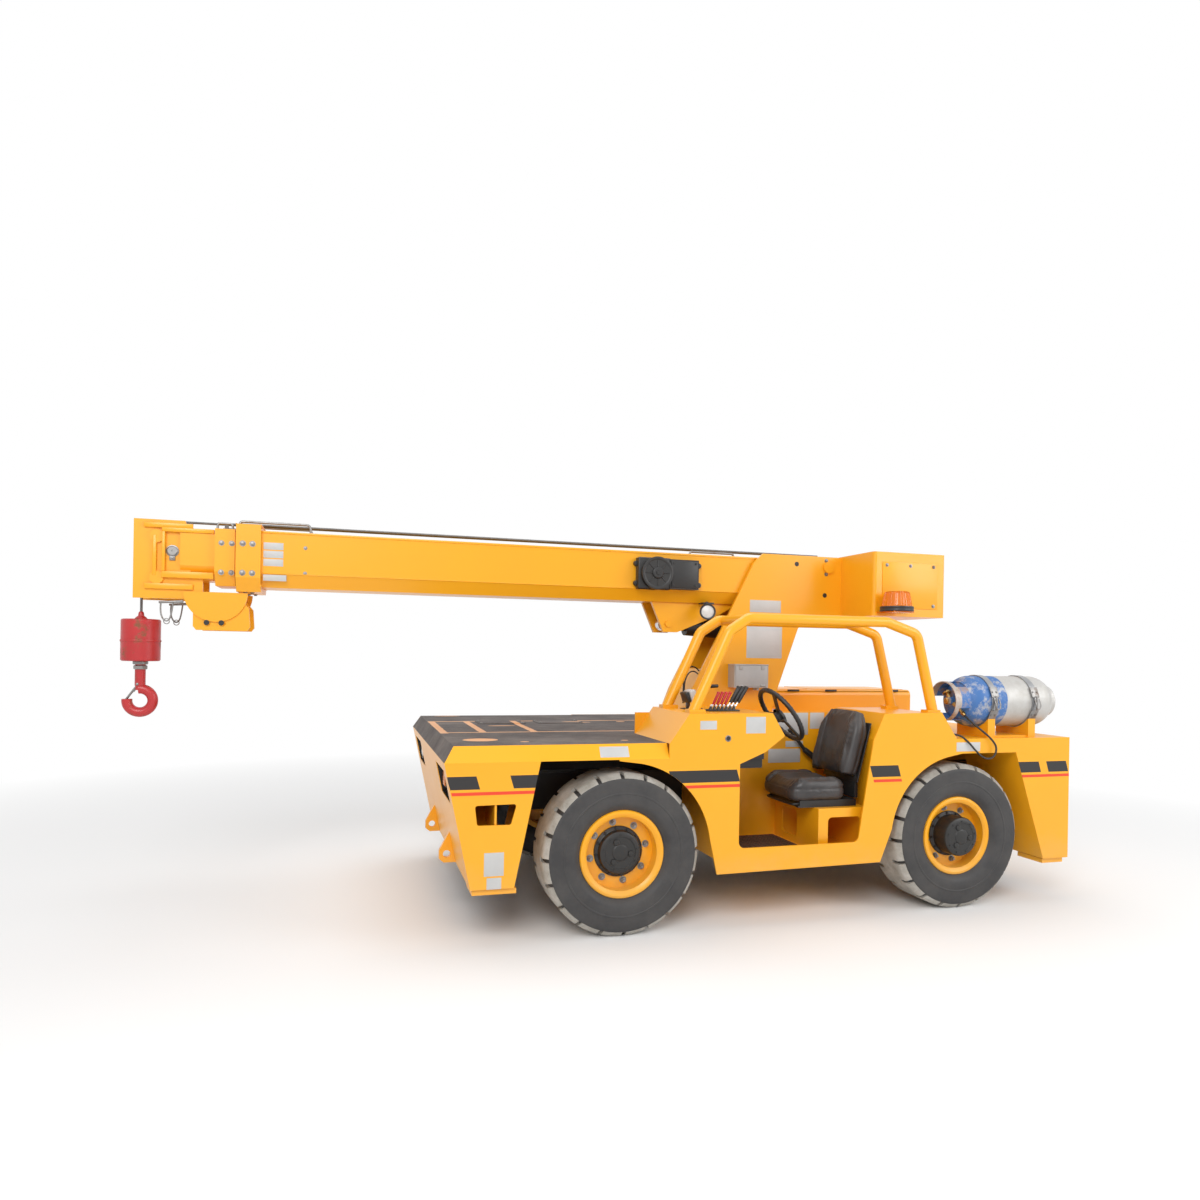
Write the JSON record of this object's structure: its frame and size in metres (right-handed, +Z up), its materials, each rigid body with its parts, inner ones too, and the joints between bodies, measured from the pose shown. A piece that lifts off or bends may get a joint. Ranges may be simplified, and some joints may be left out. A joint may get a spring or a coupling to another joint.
{
  "type": "carry deck crane",
  "caption": "Small industrial crane with a load deck in front, an open operator place, a slewing telescopic boom with a hook block, steered wheels and corner outriggers.",
  "frame": {"origin": "on the floor, midway between the rear face and the front of the hook block, on the centre line", "axes": "+X forward along the boom, +Y to the operator's left, +Z up"},
  "size_m": [5.3, 1.968, 2.1065],
  "materials": {
    "body_paint": "gloss yellow-orange enamel",
    "deck_coat": "black anti-slip coating",
    "black_paint": "black chassis paint",
    "steel": "bare machined steel",
    "rod_chrome": "hard chrome",
    "seat_vinyl": "black vinyl",
    "black_plastic": "black moulded plastic",
    "tank_alloy": "dull silver tank",
    "amber_plastic": "amber lens on a black base",
    "grey_paint": "light grey paint",
    "wire_rope": "greased wire rope",
    "red_paint": "worn red paint",
    "tyre": "grey tread on dark sidewalls"
  },
  "bodies": {
    "chassis": {"frame_rails": "black_paint", "slew_ring": "steel", "deck_front": "deck_coat", "deck_rear": "deck_coat", "front_body": "body_paint", "side_left": "body_paint", "side_right": "body_paint", "rear_body": "body_paint", "cowl": "body_paint", "rear_housing": "body_paint", "operator_tub": "body_paint", "seat_box": "body_paint", "seat_slide": "black_paint", "seat_cushion": "seat_vinyl", "seat_back": "seat_vinyl", "guard": "body_paint", "control_levers": "black_paint", "steering_column": "black_paint", "lp_tank": "tank_alloy", "tank_cradle": "black_paint", "engine_hood": "body_paint", "engine": "black_paint", "axles": "black_paint", "tow_lugs": "body_paint"},
    "steering_wheel": {"steering_wheel": "black_plastic"},
    "turret": {"mast": "body_paint", "tail_box": "body_paint", "beacon": "amber_plastic", "control_box": "grey_paint"},
    "boom_base": {"boom_base": "body_paint", "cable_reel": "black_paint", "floodlight": "grey_paint", "rope_base": "wire_rope"},
    "boom_mid": {"boom_mid": "body_paint", "rope_mid": "wire_rope"},
    "boom_tip": {"boom_tip": "body_paint", "tie_plates": "body_paint", "head_sheave": "steel", "rope_tip": "wire_rope"},
    "lift_barrel": {"lift_barrel": "black_paint"},
    "lift_rod": {"lift_rod": "rod_chrome"},
    "hook_line": {"hook_rope": "wire_rope", "hook_block": "red_paint"},
    "hook": {"hook": "red_paint"},
    "knuckle_front_left": {"knuckle_front_left": "black_paint"},
    "wheel_front_left": {"wheel_front_left": "body_paint", "tyre_front_left": "tyre"},
    "outrigger_front_left": {"outrigger_front_left": "body_paint"},
    "knuckle_front_right": {"knuckle_front_right": "black_paint"},
    "wheel_front_right": {"wheel_front_right": "body_paint", "tyre_front_right": "tyre"},
    "outrigger_front_right": {"outrigger_front_right": "body_paint"},
    "knuckle_rear_left": {"knuckle_rear_left": "black_paint"},
    "wheel_rear_left": {"wheel_rear_left": "body_paint", "tyre_rear_left": "tyre"},
    "outrigger_rear_left": {"outrigger_rear_left": "body_paint"},
    "knuckle_rear_right": {"knuckle_rear_right": "black_paint"},
    "wheel_rear_right": {"wheel_rear_right": "body_paint", "tyre_rear_right": "tyre"},
    "outrigger_rear_right": {"outrigger_rear_right": "body_paint"}
  },
  "joints": [
    {"name": "slew", "type": "hinge", "parent": "chassis", "child": "turret", "pos_m": [-0.83, 0, 1.055], "axis": [0, 0, 1], "continuous": true},
    {"name": "luff", "type": "hinge", "parent": "turret", "child": "boom_base", "pos_m": [-1.479, 0, 2.012], "axis": [0, -1, 0], "range_deg": [0, 70]},
    {"name": "extend_mid", "type": "slide", "parent": "boom_base", "child": "boom_mid", "axis": [1, 0, 0], "range_m": [0, 2.5]},
    {"name": "extend_tip", "type": "slide", "parent": "boom_mid", "child": "boom_tip", "axis": [1, 0, 0], "range_m": [0, 2.5]},
    {"name": "lift_swing", "type": "hinge", "parent": "turret", "child": "lift_barrel", "pos_m": [-1.2, 0, 1.575], "axis": [0, -1, 0], "range_deg": [0, 69.25]},
    {"name": "lift_stroke", "type": "slide", "parent": "lift_barrel", "child": "lift_rod", "axis": [0.9982, 0, 0.0594], "range_m": [0, 0.59309]},
    {"name": "hook_hang", "type": "hinge", "parent": "boom_tip", "child": "hook_line", "pos_m": [2.4612, 0, 1.79], "axis": [0, -1, 0], "range_deg": [-70.01, 0]},
    {"name": "hook_swivel", "type": "hinge", "parent": "hook_line", "child": "hook", "pos_m": [2.555, 0, 1.35], "axis": [0, 0, 1], "continuous": true},
    {"name": "steering_wheel_turn", "type": "hinge", "parent": "chassis", "child": "steering_wheel", "pos_m": [-0.863, 0.715, 1.102], "axis": [-0.8192, 0, 0.5736], "continuous": true},
    {"name": "steer_front_left", "type": "hinge", "parent": "chassis", "child": "knuckle_front_left", "pos_m": [0.15, 0.64, 0.415], "axis": [0, 0, 1], "range_deg": [-24, 24]},
    {"name": "roll_front_left", "type": "hinge", "parent": "knuckle_front_left", "child": "wheel_front_left", "pos_m": [0.15, 0.834, 0.415], "axis": [0, 1, 0], "continuous": true},
    {"name": "outrigger_front_left", "type": "slide", "parent": "chassis", "child": "outrigger_front_left", "axis": [0, 0.6428, -0.766], "range_m": [0, 0.3368]},
    {"name": "steer_front_right", "type": "hinge", "parent": "chassis", "child": "knuckle_front_right", "pos_m": [0.15, -0.64, 0.415], "axis": [0, 0, 1], "range_deg": [-24, 24]},
    {"name": "roll_front_right", "type": "hinge", "parent": "knuckle_front_right", "child": "wheel_front_right", "pos_m": [0.15, -0.834, 0.415], "axis": [0, 1, 0], "continuous": true},
    {"name": "outrigger_front_right", "type": "slide", "parent": "chassis", "child": "outrigger_front_right", "axis": [0, -0.6428, -0.766], "range_m": [0, 0.3368]},
    {"name": "steer_rear_left", "type": "hinge", "parent": "chassis", "child": "knuckle_rear_left", "pos_m": [-1.882, 0.64, 0.415], "axis": [0, 0, 1], "range_deg": [-24, 24]},
    {"name": "roll_rear_left", "type": "hinge", "parent": "knuckle_rear_left", "child": "wheel_rear_left", "pos_m": [-1.882, 0.834, 0.415], "axis": [0, 1, 0], "continuous": true},
    {"name": "outrigger_rear_left", "type": "slide", "parent": "chassis", "child": "outrigger_rear_left", "axis": [0, 0.6428, -0.766], "range_m": [0, 0.2937]},
    {"name": "steer_rear_right", "type": "hinge", "parent": "chassis", "child": "knuckle_rear_right", "pos_m": [-1.882, -0.64, 0.415], "axis": [0, 0, 1], "range_deg": [-24, 24]},
    {"name": "roll_rear_right", "type": "hinge", "parent": "knuckle_rear_right", "child": "wheel_rear_right", "pos_m": [-1.882, -0.834, 0.415], "axis": [0, 1, 0], "continuous": true},
    {"name": "outrigger_rear_right", "type": "slide", "parent": "chassis", "child": "outrigger_rear_right", "axis": [0, -0.6428, -0.766], "range_m": [0, 0.2937]}
  ],
  "couplings": [
    {"joint": "extend_tip", "follows": "extend_mid", "ratio": 1},
    {"joint": "lift_swing", "follows": "luff", "ratio": 0.98915},
    {"joint": "lift_stroke", "follows": "luff", "m_per_rad": 0.48537},
    {"joint": "hook_hang", "follows": "luff", "ratio": -1},
    {"joint": "steer_front_right", "follows": "steer_front_left", "ratio": 1},
    {"joint": "steer_rear_right", "follows": "steer_rear_left", "ratio": 1}
  ]
}
